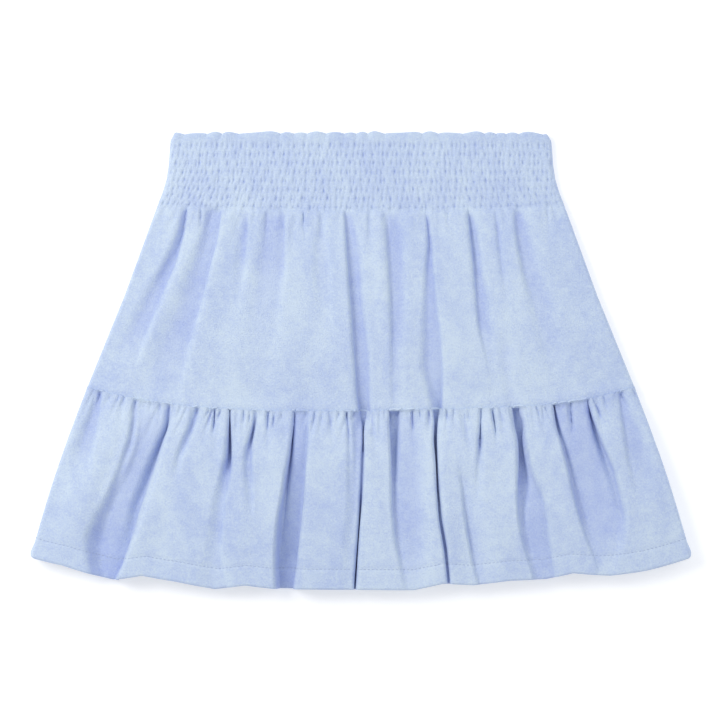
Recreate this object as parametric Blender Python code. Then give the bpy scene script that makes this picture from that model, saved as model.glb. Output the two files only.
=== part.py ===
# A mini skirt of terry cloth, laid flat on its back with the waist towards +Y.
# The waist is shirred on rows of elastic thread, the tier below it hangs in soft
# gathers, and a fuller ruffle with a turned-up hem is sewn to the tier.
# Front and back are separate walls of cloth that lie on each other.
# Lengths below are millimetres. The origin is on the floor, under the middle.

import math
from collections import namedtuple

import bmesh
import bpy

MM = 0.001

# Thickness of the cloth, and the air between two pieces.
CLOTH = 1.6
HEM_WALL = 2.8
WAIST_WALL = 1.6
BACK_WAIST_WALL = 2.2
GAP = 0.3

# The outline: centre line, how much higher the sides lie, and half the width.
Section = namedtuple("Section", "y rise half")
WAIST = (
    Section(193.3, -0.8, 158.8),
    Section(188.0, -0.8, 161.6),
    Section(166.0, -0.4, 163.2),
    Section(152.5, 1.0, 165.0),
    Section(140.0, 3.0, 168.2),
    Section(129.2, 5.0, 171.6),
)
TIER = (WAIST[-1], Section(43.3, 11.6, 200.6), Section(-42.5, 18.7, 232.6))
RUFFLE = (TIER[-1], Section(-193.8, 26.8, 280.4))
SIDE_CURVE = 3.6
BELLY = 2.4
CORNER = 4.0
EDGE_ROUND = 7.0

# Shirring: rows of elastic thread below a frilled heading.
ELASTIC_ROWS = 8
HEADING = 11.4
PUFFS = 64
PUFF_HEIGHT = 1.5
DIMPLE = 0.35

# Height of the folds above the floor, at the top, quarter, middle and foot.
TIER_CROWN = (5.4, 8.6, 8.4, 6.6)
RUFFLE_CROWN = (6.0, 12.5, 14.5, 14.0)
SIDE_DROP = 0.52
GATHER = 0.7
GATHER_LENGTH = 0.11
HEM_START = 0.885
BACK_HEM_START = 0.905

# A crease runs down a panel. Its place at the top, middle and foot is a share of
# the half width, and start, hold and end are shares of the panel's length: it is
# full until hold and gone at end. Share is how far it sinks of the fold's height.
# Flat is the width of its bottom at the top and at the foot, and left and right
# are the widths of its two sides. A row of points follows each crease with line 1.
Crease = namedtuple(
    "Crease", "top middle foot start hold end share flat flat_foot left right line"
)
TIER_CREASES = [Crease(*row) for row in (
    (-0.855, -0.865, -0.980, 0.00, 0.30, 0.80, 0.85, 1.0, 2.0, 9.0, 3.0, 1),
    (-0.690, -0.708, -0.800, 0.00, 0.35, 1.00, 0.62, 3.0, 6.0, 11.0, 3.5, 1),
    (-0.555, -0.540, -0.535, 0.00, 0.10, 0.28, 0.50, 0.5, 0.5, 3.0, 3.0, 1),
    (-0.460, -0.452, -0.455, 0.00, 0.15, 0.85, 0.45, 1.0, 3.0, 4.0, 4.0, 1),
    (-0.372, -0.345, -0.340, 0.00, 0.20, 0.42, 0.55, 1.0, 1.0, 4.0, 3.0, 1),
    (-0.410, -0.400, -0.400, 0.12, 0.30, 0.55, 0.35, 9.0, 9.0, 4.0, 4.0, 0),
    (-0.275, -0.268, -0.260, 0.00, 0.06, 0.18, 0.40, 0.5, 0.5, 3.0, 3.0, 1),
    (-0.190, -0.160, -0.150, 0.00, 0.15, 0.50, 0.42, 1.0, 1.0, 6.0, 3.0, 1),
    (-0.070, -0.024, 0.006, 0.00, 1.00, 1.10, 0.90, 2.5, 7.5, 2.5, 5.0, 1),
    (0.040, 0.055, 0.070, 0.00, 0.12, 0.30, 0.50, 0.5, 0.5, 3.0, 3.0, 1),
    (0.155, 0.150, 0.128, 0.00, 0.55, 0.95, 0.68, 9.0, 4.0, 2.8, 4.0, 1),
    (0.325, 0.286, 0.285, 0.00, 0.20, 0.50, 0.80, 1.0, 4.0, 2.8, 4.0, 1),
    (0.290, 0.285, 0.281, 0.35, 1.00, 1.10, 0.85, 6.0, 6.0, 5.0, 2.8, 0),
    (0.434, 0.430, 0.425, 0.00, 0.08, 0.18, 0.35, 0.5, 0.5, 3.0, 3.0, 1),
    (0.540, 0.512, 0.520, 0.00, 0.40, 0.78, 0.85, 1.5, 3.0, 2.8, 6.0, 1),
    (0.655, 0.622, 0.620, 0.00, 0.20, 0.40, 0.50, 0.5, 0.5, 3.0, 3.0, 1),
    (0.765, 0.755, 0.800, 0.00, 0.25, 0.95, 0.50, 1.0, 6.0, 3.0, 10.0, 1),
)]
RUFFLE_CREASES = [Crease(*row) for row in (
    (-0.935, -0.943, -0.950, 0.00, 0.12, 0.42, 0.60, 1.0, 1.0, 4.0, 3.0, 1),
    (-0.815, -0.810, -0.815, 0.00, 0.50, 1.10, 0.75, 3.0, 5.0, 4.0, 8.0, 1),
    (-0.697, -0.716, -0.738, 0.00, 1.00, 1.10, 0.95, 1.5, 2.0, 11.0, 2.8, 1),
    (-0.600, -0.622, -0.630, 0.00, 0.12, 0.36, 0.50, 0.5, 0.5, 4.0, 4.0, 1),
    (-0.533, -0.534, -0.534, 0.00, 0.08, 0.28, 0.40, 0.5, 0.5, 3.0, 3.0, 0),
    (-0.475, -0.452, -0.488, 0.00, 0.32, 0.80, 0.93, 1.0, 3.0, 4.0, 4.0, 1),
    (-0.460, -0.458, -0.488, 0.40, 1.00, 1.10, 0.45, 8.0, 8.0, 8.0, 8.0, 0),
    (-0.384, -0.394, -0.400, 0.00, 0.12, 0.44, 0.65, 0.5, 0.5, 5.0, 3.0, 1),
    (-0.246, -0.250, -0.240, 0.00, 1.00, 1.10, 0.50, 1.0, 1.0, 4.0, 4.0, 0),
    (-0.222, -0.236, -0.230, 0.00, 1.00, 1.10, 0.88, 5.0, 18.0, 5.0, 2.8, 1),
    (-0.041, -0.034, -0.030, 0.00, 0.30, 0.68, 0.40, 0.5, 0.5, 3.0, 3.0, 1),
    (0.008, 0.002, -0.015, 0.00, 1.00, 1.10, 0.98, 1.5, 1.0, 3.2, 3.2, 1),
    (0.119, 0.111, 0.127, 0.00, 0.35, 1.10, 0.88, 6.0, 2.0, 2.8, 4.0, 1),
    (0.165, 0.160, 0.165, 0.30, 1.00, 1.10, 0.35, 12.0, 14.0, 4.0, 6.0, 0),
    (0.266, 0.255, 0.267, 0.00, 1.00, 1.10, 0.98, 3.5, 1.0, 3.2, 3.2, 1),
    (0.330, 0.338, 0.352, 0.25, 0.60, 1.10, 0.50, 1.0, 2.0, 3.0, 6.0, 0),
    (0.432, 0.404, 0.400, 0.00, 0.25, 0.46, 0.70, 1.0, 1.0, 4.0, 3.0, 1),
    (0.555, 0.524, 0.535, 0.00, 1.00, 1.10, 0.93, 2.0, 2.0, 2.8, 4.0, 1),
    (0.550, 0.553, 0.562, 0.15, 1.00, 1.10, 0.60, 5.0, 15.0, 3.0, 3.0, 0),
    (0.699, 0.699, 0.735, 0.00, 0.80, 1.10, 0.80, 1.0, 1.5, 2.8, 6.0, 1),
    (0.768, 0.772, 0.785, 0.08, 0.75, 1.10, 0.42, 14.0, 18.0, 4.0, 3.0, 0),
    (0.827, 0.837, 0.836, 0.00, 0.45, 0.88, 0.90, 1.0, 2.0, 6.0, 2.8, 1),
    (0.933, 0.922, 0.925, 0.00, 0.15, 0.42, 0.50, 0.5, 0.5, 3.0, 4.0, 1),
)]

# How far the hem hangs below its smooth curve, by share of the half width.
Drop = namedtuple("Drop", "across drop")
HEM_LINE = [Drop(*row) for row in (
    (-1.00, 0.0), (-0.90, -1.6), (-0.75, 1.8), (-0.66, -5.4), (-0.56, -3.2),
    (-0.44, 1.4), (-0.35, -2.6), (-0.26, 0.0), (0.16, 0.9), (0.25, -4.6),
    (0.34, -2.8), (0.45, -5.8), (0.56, -5.2), (0.64, -8.2), (0.75, -1.9),
    (0.86, 0.0), (1.00, 0.0),
)]

# The back lies flat on the floor, just inside the front's outline.
BACK_INSET = 0.8
BACK_SHORT = 1.6
BACK_STEP = 9.0

TIER_ROWS = (0.0, 0.035, 0.09, 0.18, 0.32, 0.48, 0.64, 0.80, 0.92, 1.0)
RUFFLE_ROWS = (0.0, 0.03, 0.08, 0.17, 0.30, 0.46, 0.62, 0.78, 0.88, 0.89, 1.0)
BACK_ROWS = (0.0, 0.3, 0.6, 0.90, 0.91, 1.0)

PERIWINKLE = (0.50, 0.60, 0.83, 1.0)


def smooth(low, high, value):
    """0 below low, 1 above high, and a soft step between them."""
    share = min(1.0, max(0.0, (value - low) / (high - low)))
    return share * share * (3 - 2 * share)


def eased(values, share):
    """A soft curve through values at equal steps, read at share 0 to 1."""
    place = min(max(share, 0.0), 1.0) * (len(values) - 1)
    step = min(int(place), len(values) - 2)
    return values[step] + (values[step + 1] - values[step]) * smooth(0, 1, place - step)


def section_at(sections, down):
    """The outline at a share of the way down a panel."""
    place = down * (len(sections) - 1)
    step = min(int(place), len(sections) - 2)
    share = place - step
    return Section(*(a + (b - a) * share for a, b in zip(sections[step], sections[step + 1])))


def hem_drop(across):
    """How far the hem hangs below its smooth curve."""
    for before, after in zip(HEM_LINE, HEM_LINE[1:]):
        if across <= after.across:
            return before.drop + (after.drop - before.drop) * smooth(before.across, after.across, across)
    return 0.0


def corner_cut(x, half):
    """How far a rounded corner pulls the edge in, next to the side."""
    into = max(0.0, abs(x) - (half - CORNER))
    return CORNER - math.sqrt(max(0.0, CORNER**2 - min(into, CORNER) ** 2))


def crease_place(crease, down):
    """Where a crease runs, as a share of the half width."""
    return (
        crease.top * (1 - down) * (1 - 2 * down)
        + crease.middle * 4 * down * (1 - down)
        + crease.foot * down * (2 * down - 1)
    )


def relief(creases, across, down, half):
    """The height that the creases leave, from 0 at the cloth below to 1 at a crown."""
    left = 1.0
    for crease in creases:
        share = crease.share * smooth(crease.start - 0.08, crease.start + 0.08, down)
        share *= 1 - smooth(crease.hold, crease.end, down)
        if share <= 0:
            continue
        away = (across - crease_place(crease, down)) * half
        flat = crease.flat + (crease.flat_foot - crease.flat) * down
        side = crease.right if away > 0 else crease.left
        out = max(0.0, abs(away) - flat / 2) / side
        left *= 1 - share * math.exp(-(math.sqrt(out * out + 0.04) - 0.2))
    return left


def columns(creases, down, step):
    """Places across a panel, crowded at the creases that they follow."""
    lines = [-1.0] + [crease_place(c, down) for c in creases if c.line] + [1.0]
    middles = [-1.0] + [c.middle for c in creases if c.line] + [1.0]
    found = [-1.0]
    for i in range(len(lines) - 1):
        count = max(2, round((middles[i + 1] - middles[i]) * TIER[-1].half / step))
        for j in range(1, count + 1):
            share = (1 - math.cos(math.pi * j / count)) / 2
            found.append(lines[i] + (lines[i + 1] - lines[i]) * share)
    return found


def edge_round(across, half):
    """0 at the side of the skirt and 1 once the cloth has rounded up from it."""
    inside = min(1.0, (1 - abs(across)) * half / EDGE_ROUND)
    return math.sqrt(max(0.0, 1 - (1 - inside) ** 2))


def plan(section, across, down, hem=False):
    """The place of a point on the floor."""
    x = across * section.half
    y = section.y + section.rise * abs(across) ** SIDE_CURVE
    if hem:
        y -= hem_drop(across) * smooth(0.35, 1.0, down)
        y += corner_cut(x, section.half) * smooth(0.9, 1.0, down)
    return x, y


def tier_section(down):
    return section_at(TIER, down)


def ruffle_section(down):
    section = section_at(RUFFLE, down)
    return section._replace(half=section.half + BELLY * math.sin(math.pi * down))


def hem_wall(down):
    """Thickness of the front ruffle's cloth, doubled where the hem is turned up."""
    return HEM_WALL if down > HEM_START else CLOTH


def back_hem_wall(down):
    """The same on the back, where the step stays clear of the front's."""
    return HEM_WALL if down > BACK_HEM_START else CLOTH


def inside_points(row, wall, lowest):
    """The inner side of a row of outer points, one wall below them in the row's own upright plane."""
    inner = []
    for j, point in enumerate(row):
        before, after = row[max(j - 1, 0)], row[min(j + 1, len(row) - 1)]
        run = math.hypot(after[0] - before[0], after[1] - before[1])
        along = ((after[0] - before[0]) / run, (after[1] - before[1]) / run)
        slope = math.atan2(after[2] - before[2], run)
        if j == 0:
            slope = math.pi / 2
        elif j == len(row) - 1:
            slope = -math.pi / 2
        back, down = math.sin(slope) * wall, math.cos(slope) * wall
        height = max(lowest, point[2] - down)
        inner.append((point[0] + along[0] * back, point[1] + along[1] * back, height))
    return inner


def front_tier_rows():
    outer, inner = [], []
    for down in TIER_ROWS:
        section = tier_section(down)
        section = section._replace(y=section.y + GAP / 2 * (2 * down - 1))
        floor = CLOTH + GAP + CLOTH
        crown = eased(TIER_CROWN, down)
        row = []
        for j, across in enumerate(columns(TIER_CREASES, down, 4.9)):
            height = crown * (1 - (1 - SIDE_DROP) * abs(across) ** 6)
            z = floor + max(0.0, height - floor) * relief(TIER_CREASES, across, down, section.half)
            z += GATHER * (-1) ** j * (1 - smooth(0, GATHER_LENGTH, down))
            rim = BACK_WAIST_WALL + GAP if down == 0 else CLOTH + GAP
            x, y = plan(section, across, down)
            row.append((x, y, rim + (z - rim) * edge_round(across, section.half)))
        outer.append(row)
        inner.append(inside_points(row, CLOTH, rim))
    return outer, inner


def ruffle_height(across, down):
    """Height of the front ruffle's folds above the back, before the sides round down."""
    crown = eased(RUFFLE_CROWN, down) * (1 - (1 - SIDE_DROP) * abs(across) ** 6)
    floor = 2 * hem_wall(down) + GAP
    half = ruffle_section(down).half
    return max(0.0, crown - floor) * relief(RUFFLE_CREASES, across, down, half)


def front_ruffle_rows():
    outer, inner = [], []
    for down in RUFFLE_ROWS:
        section = ruffle_section(down)
        if down == 0:
            section = section._replace(y=section.y - GAP / 2)
        wall = hem_wall(down)
        row = []
        for j, across in enumerate(columns(RUFFLE_CREASES, down, 4.0)):
            z = 2 * wall + GAP + ruffle_height(across, down)
            z += GATHER * (-1) ** j * (1 - smooth(0, GATHER_LENGTH, down))
            rim = wall + GAP
            x, y = plan(section, across, down, hem=True)
            row.append((x, y, rim + (z - rim) * edge_round(across, section.half)))
        outer.append(row)
        inner.append(inside_points(row, wall, rim))
    return outer, inner


def front_waist_rows():
    """Puffs between rows of elastic, each row of puffs half a puff aside of the last."""
    length = WAIST[0].y - WAIST[-1].y
    pitch = (length - HEADING) / (ELASTIC_ROWS - 1)
    depths = [0.0, HEADING / 2] + [HEADING + pitch / 2 * k for k in range(2 * ELASTIC_ROWS - 1)]
    places = [k / PUFFS - 1 for k in range(2 * PUFFS + 1)]
    places = [-1.0, -0.995] + places[1:-1] + [0.995, 1.0]
    rim = BACK_WAIST_WALL + GAP
    outer, inner = [], []
    for i, depth in enumerate(depths):
        section = waist_section(depth)
        if i == len(depths) - 1:
            section = section._replace(y=section.y + GAP / 2)
        band, puffed = divmod(i, 2)
        row, low_row = [], []
        for j, across in enumerate(places):
            x, y = plan(section, across, 0)
            wander = math.sin(j * 1.7 + i * 2.3) * 0.5 + 0.5
            if i == 0:
                y += 0.9 * math.sin(j * 0.83) + 0.5 * math.sin(j * 0.37 + 1)
                y -= corner_cut(x, section.half)
            raised = (j + band) % 2 == 0
            z = rim + WAIST_WALL
            if puffed or i == 0:
                z += PUFF_HEIGHT * (0.75 + 0.25 * wander) if raised else DIMPLE
            else:
                z += DIMPLE * wander
            row.append((x, y, rim + (z - rim) * edge_round(across, section.half)))
            low_x = max(-section.half + WAIST_WALL, min(section.half - WAIST_WALL, x))
            low_row.append((low_x, y, rim))
        outer.append(row)
        inner.append(low_row)
    return outer, inner


def waist_section(depth):
    """The outline a given length below the waist's top edge."""
    y = WAIST[0].y - depth
    for above, below in zip(WAIST, WAIST[1:]):
        if y >= below.y - 1e-6:
            share = (above.y - y) / (above.y - below.y)
            return Section(*(a + (b - a) * share for a, b in zip(above, below)))
    return WAIST[-1]


def back_rows(section_of, downs, wall_of, hem):
    """The back of a panel, flat on the floor."""
    upper, lower = [], []
    for down in downs:
        section = section_of(down)
        section = section._replace(half=section.half - BACK_INSET)
        count = 2 * round(section_of(1).half / BACK_STEP)
        row, low_row = [], []
        for j in range(count + 1):
            x, y = plan(section, 2 * j / count - 1, down, hem)
            if down == 0:
                y -= GAP / 2
            elif down == 1:
                y += BACK_SHORT if hem else GAP / 2
            row.append((x, y, wall_of(down)))
            low_row.append((x, y, 0.0))
        upper.append(row)
        lower.append(low_row)
    return upper, lower


def back_waist_rows():
    upper, lower = [], []
    for depth in (BACK_SHORT, HEADING, 36.0, 51.0, WAIST[0].y - WAIST[-1].y - GAP / 2):
        section = waist_section(depth)
        row, low_row = [], []
        for k in range(33):
            across = k / 16 - 1
            x, y = plan(section._replace(half=section.half - BACK_INSET), across, 0)
            if depth == BACK_SHORT:
                y += 0.6 * math.sin(k * 2.1) - 1.0
                y -= corner_cut(x, section.half)
            row.append((x, y, BACK_WAIST_WALL))
            low_row.append((x, y, 0.0))
        upper.append(row)
        lower.append(low_row)
    return upper, lower


def cloth_wall(name, outer, inner, plain_inside=False):
    """One closed wall of cloth between two grids of points, rows running down the skirt."""
    rows, columns_across = len(outer) - 1, len(outer[0]) - 1
    mesh = bmesh.new()
    bmesh.ops.create_grid(mesh, x_segments=columns_across, y_segments=rows, size=1)
    second = bmesh.ops.extrude_face_region(mesh, geom=mesh.faces[:])["geom"]
    inner_verts = {item for item in second if isinstance(item, bmesh.types.BMVert)}
    inner_columns = {}
    for item in second:
        if isinstance(item, bmesh.types.BMFace):
            middle = item.calc_center_median().x
            inner_columns.setdefault(int((middle + 1) / 2 * columns_across), []).append(item)
    for vert in mesh.verts:
        i = round((1 - vert.co.y) / 2 * rows)
        j = round((vert.co.x + 1) / 2 * columns_across)
        grid = inner if vert in inner_verts else outer
        vert.co = [v * MM for v in grid[i][j]]
    if plain_inside:
        for faces in inner_columns.values():
            bmesh.ops.dissolve_faces(mesh, faces=faces, use_verts=True)
    bmesh.ops.recalc_face_normals(mesh, faces=mesh.faces)
    data = bpy.data.meshes.new(name)
    mesh.to_mesh(data)
    mesh.free()
    data.shade_smooth()
    data.set_sharp_from_angle(angle=math.radians(50))
    return bpy.data.objects.new(name, data)


def terry(name, colour):
    """A soft, dull cloth material."""
    material = bpy.data.materials.new(name)
    material.use_nodes = True
    shader = material.node_tree.nodes["Principled BSDF"]
    shader.inputs["Base Color"].default_value = colour
    shader.inputs["Roughness"].default_value = 0.95
    shader.inputs["Metallic"].default_value = 0.0
    return material


def main():
    for obj in list(bpy.data.objects):
        bpy.data.objects.remove(obj, do_unlink=True)
    collection = bpy.data.collections.new("mini_skirt")
    bpy.context.scene.collection.children.link(collection)

    pieces = {
        "front_waist": cloth_wall("front_waist", *front_waist_rows(), plain_inside=True),
        "front_tier": cloth_wall("front_tier", *front_tier_rows()),
        "front_ruffle": cloth_wall("front_ruffle", *front_ruffle_rows()),
        "back_waist": cloth_wall("back_waist", *back_waist_rows()),
        "back_tier": cloth_wall("back_tier", *back_rows(
            tier_section, (0.0, 0.5, 1.0), lambda down: CLOTH, False)),
        "back_ruffle": cloth_wall("back_ruffle", *back_rows(
            ruffle_section, BACK_ROWS, back_hem_wall, True)),
    }
    for name, obj in pieces.items():
        obj.data.materials.append(terry("terry_" + name, PERIWINKLE))
        collection.objects.link(obj)


main()
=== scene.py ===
import math
import random

import bpy
import numpy as np
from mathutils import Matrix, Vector, noise


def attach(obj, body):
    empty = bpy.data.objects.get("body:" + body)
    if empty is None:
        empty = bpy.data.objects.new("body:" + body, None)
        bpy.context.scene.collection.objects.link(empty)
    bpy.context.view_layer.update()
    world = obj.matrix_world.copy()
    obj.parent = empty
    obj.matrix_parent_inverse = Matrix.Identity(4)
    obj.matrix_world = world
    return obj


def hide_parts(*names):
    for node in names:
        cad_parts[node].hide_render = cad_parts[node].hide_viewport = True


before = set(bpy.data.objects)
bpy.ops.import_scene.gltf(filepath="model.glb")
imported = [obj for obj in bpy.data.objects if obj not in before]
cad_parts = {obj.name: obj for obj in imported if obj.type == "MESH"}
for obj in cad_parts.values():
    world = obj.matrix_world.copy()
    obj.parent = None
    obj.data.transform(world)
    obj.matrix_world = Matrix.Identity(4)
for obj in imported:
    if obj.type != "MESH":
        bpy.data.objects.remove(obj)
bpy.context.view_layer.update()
mm = 0.001  # sizes below are millimetres, on the skirt as it lies, front up

# The outline: y of the centre line, how much higher the sides lie, half the width.
outline = {
    "waist": [
        (193.3, -0.8, 158.8),
        (188.0, -0.8, 161.6),
        (166.0, -0.4, 163.2),
        (152.5, 1.0, 165.0),
        (140.0, 3.0, 168.2),
        (129.2, 5.0, 171.6),
    ],
    "tier": [(129.2, 5.0, 171.6), (43.3, 11.6, 200.6), (-42.5, 18.7, 232.6)],
    "ruffle": [(-42.5, 18.7, 232.6), (-193.8, 26.8, 280.4)],
    "sideCurve": 3.6,
    "clothThick": 1.6,
    "hemThick": 2.8,
}

# Each of the folds is a trough between two ridges: a row of (share of the way down, left
# edge, right edge, depth as a share of the panel's height), then how wide its left wall and
# its right wall are at the panel's top and foot. A depth below 0 is a raised ridge.
tierCloth = {
    "crown": (10.0, 12.5, 13.0, 11.5),
    "floor": 3.6,
    "sideDrop": 0.25,
    "rows": 86,
    "frontStep": 1.3,
    "backColumns": 96,
    # count, seed, depth, widths, lengths and how much of it starts at the seam
    "smallGathers": (64, 7, 1.1, (0.9, 1.5), (6, 9, 13, 18), 0),
    "wideGathers": (30, 19, 1.6, (1.8, 3.2), (12, 20, 30), 0),
    # height, seed, and how many go across and down
    "waves": (0.55, 5.2, 9, 1.3),
    "wavesFrom": (0, 0.25),
    "lean": 1.0,
    # how far below the waist its dimples blend into the folds
    "blend": 3.5,
    # the top row tucks in under the waist: how far up, how far down, over what reach
    "tuck": (0.6, 0.1, 0.4),
    # the roll above the seam: height, place and reach; then the nip at the seam itself
    "footRoll": (0.5, 5, 4),
    "footNip": (0.15, 1.1),
    "sagFrom": (0.5, 1.0),
    # how far the back's ends rise off the floor, and over what reach
    "backTop": (0.9, 4),
    "backFoot": (0.7, 3),
    # where front meets back, and how wide each is rounded there
    "sideHeight": 2.4,
    "sideRound": (2.5, 3),
    # how far below the waist the painted shade of the troughs fades in
    "shadeReach": 7,
    "folds": [
        (((0, -150.4, -145.8, 0.7), (0.16, -156, -149.2, 0.9), (0.3, -164.9, -156.4, 0.7),
          (0.44, -177.7, -166.6, 0.48), (0.6, -191.2, -177.1, 0.38), (0.76, -205.7, -186.4, 0.17),
          (0.87, -215, -192.4, 0)), (3, 9), (1.2, 3)),
        (((0.09, -147, -141.9, -0.06), (0.29, -153.8, -147, -0.13), (0.49, -167.4, -158.9, -0.14),
          (0.7, -181.9, -172.5, -0.1), (0.86, -189.5, -179.3, 0)), (1.6, 3), (6, 10)),
        (((0, -136.8, -134.3, 0.5), (0.08, -136.8, -135.2, 0.35), (0.12, -136.8, -135.2, 0)),
         (1.2, 1.5), (1.2, 1.5)),
        (((0, -130, -116.9, 0.64), (0.17, -134.3, -121.1, 0.63), (0.28, -141.1, -126, 0.44),
          (0.48, -153, -134.3, 0.34), (0.68, -169.2, -144.5, 0.28), (0.84, -181.9, -150.4, 0.2),
          (1, -187.8, -155.5, 0.06)), (4, 15), (1.2, 3)),
        (((0.08, -119.8, -113.9, -0.06), (0.28, -125.8, -118.1, -0.12),
          (0.47, -132.6, -124.1, -0.12), (0.67, -141.9, -131.8, -0.1), (0.86, -147, -138.5, 0)),
         (1.6, 3), (8, 12)),
        (((0, -99.5, -95.2, 0.3), (0.16, -102.8, -96, 0.34), (0.27, -104.5, -97.8, 0.26),
          (0.41, -106.2, -100.3, 0.1), (0.51, -108, -102.8, 0)), (4, 6), (1.4, 4)),
        (((0, -82.5, -65.5, 0.26), (0.14, -84.1, -64.6, 0.34), (0.27, -87.5, -64.6, 0.34),
          (0.38, -90.1, -66.3, 0.25), (0.51, -94.3, -68.8, 0.18), (0.71, -98.6, -73.1, 0.1),
          (1, -102.8, -84.1, 0.05)), (5, 12), (1.3, 8)),
        (((0, -80.8, -78.2, 0.35), (0.1, -81.6, -79, 0.25), (0.19, -82.5, -79.9, 0)),
         (1.2, 1.5), (1.2, 1.5)),
        (((0, -69.7, -65, 0.3), (0.13, -68.8, -64.6, 0.3), (0.27, -69.7, -64.6, 0.16),
          (0.37, -70.5, -65.5, 0)), (4, 5), (1.3, 2)),
        (((0, -50.1, -47.6, 0.4), (0.08, -49.3, -47.6, 0.3), (0.17, -48.4, -46.8, 0)),
         (1.2, 2), (1.5, 2)),
        (((0, -35.7, -33.1, 0.3), (0.1, -35.7, -32.3, 0.25), (0.18, -39.1, -28.1, 0.16),
          (0.31, -39.1, -26.3, 0.2), (0.46, -36.5, -25.5, 0.13), (0.63, -34.9, -24.6, 0)),
         (2.5, 6), (2.5, 5)),
        (((0, -22.1, -16.1, -0.08), (0.27, -21.2, -12.8, -0.19), (0.55, -17.8, -9.3, -0.21),
          (0.9, -12.8, -6, -0.13)), (12, 14), (1.5, 2)),
        (((0, -14.9, -9.8, 0.55), (0.13, -13.2, -4.2, 0.55), (0.27, -11.9, -0.8, 0.5),
          (0.46, -9.3, 0.3, 0.52), (0.65, -6.8, 5.1, 0.47), (0.8, -5.1, 6.8, 0.49),
          (0.91, -4.2, 7.2, 0.66), (1, -2.5, 8.1, 1)), (1.2, 1.4), (6, 2.4)),
        (((0, 5.1, 8.5, 0.2), (0.13, 6, 8.5, 0.16), (0.21, 6.8, 8.5, 0)), (1.5, 2), (1.2, 1.5)),
        (((0, 11.9, 17.8, -0.1), (0.27, 11.9, 20.4, -0.12), (0.55, 14.4, 22.9, -0.07),
          (0.7, 16.1, 23.8, 0)), (4, 5), (1.6, 2)),
        (((0, 20.4, 32.3, 0.28), (0.13, 21.2, 34.9, 0.32), (0.27, 22.9, 35.7, 0.36),
          (0.46, 24.6, 36.5, 0.38), (0.6, 25.5, 35.7, 0.32), (0.7, 25.5, 34, 0.22),
          (0.9, 25.5, 34.9, 0.15), (1, 26.3, 34.9, 0.13)), (1.4, 1.4), (4, 6)),
        (((0, 53.5, 55.2, 0.39), (0.08, 55.5, 57.8, 0.63), (0.18, 56.7, 60.4, 0.55),
          (0.27, 55.2, 60.7, 0.42), (0.46, 54, 64, 0.36), (0.65, 53.4, 67.8, 0.36),
          (0.8, 53.2, 69.6, 0.46), (0.91, 58.9, 69.6, 0.76), (1, 62.9, 69.6, 1.08)),
         (1.3, 6), (2.5, 1.3)),
        (((0, 72.2, 74.8, 0.35), (0.07, 73.1, 74.8, 0.25), (0.12, 73.1, 74.8, 0)),
         (1.2, 1.5), (1.2, 1.5)),
        (((0, 81.6, 87.5, -0.08), (0.21, 83.3, 91, -0.12), (0.46, 86.7, 95.2, -0.08),
          (0.66, 91, 99.5, 0)), (10, 12), (1.5, 2)),
        (((0, 89.7, 93.9, 0.33), (0.09, 91, 96.9, 0.67), (0.21, 93.1, 100.3, 0.7),
          (0.31, 95.2, 101.5, 0.54), (0.46, 97.2, 107.1, 0.38), (0.61, 99.7, 111.3, 0.28),
          (0.72, 104.5, 115.6, 0.16), (0.85, 108.8, 118.1, 0.04)), (1.2, 2), (3, 8)),
        (((0, 112.2, 114.8, 0.35), (0.14, 114.8, 118.1, 0.35), (0.28, 117.3, 120.7, 0.22),
          (0.42, 120.7, 125, 0.06), (0.49, 121.5, 125, 0)), (1.6, 3), (2.5, 4)),
        (((0.61, 115.6, 123.2, 0), (0.7, 117.3, 128.3, 0.22), (0.84, 119.8, 128.3, 0.15),
          (1, 125, 135.2, 0.2)), (4, 4), (4, 6)),
        (((0, 125, 130, -0.08), (0.22, 125.8, 133.4, -0.12), (0.47, 130, 140.2, -0.06),
          (0.62, 135.2, 145.3, 0)), (7, 9), (2, 3)),
        (((0, 129.2, 136, 0.45), (0.12, 130.4, 139.9, 0.46), (0.22, 132.8, 145.6, 0.4),
          (0.35, 137.1, 152.3, 0.3), (0.48, 143.7, 160.7, 0.23), (0.63, 149.6, 165.8, 0.17),
          (0.73, 153.8, 169.2, 0.16), (0.91, 162.3, 173.4, 0.04)), (1.8, 5), (5, 10)),
        (((0, 156.4, 158.9, 0.3), (0.11, 158.1, 159.8, 0.2), (0.16, 158.9, 160.7, 0)),
         (1.3, 1.5), (1.3, 1.5)),
    ],
    # how far the seam at its foot hangs below its smooth curve, by share of the half width
    "seamLine": [
        (-1, 0), (-0.75, 0.5), (-0.6, 1.0), (-0.38, 1.6), (-0.14, 1.7), (0.05, 1.4),
        (0.18, 0.3), (0.5, 0), (0.65, 1.0), (0.8, 0.6), (1, 0),
    ],
}

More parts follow.
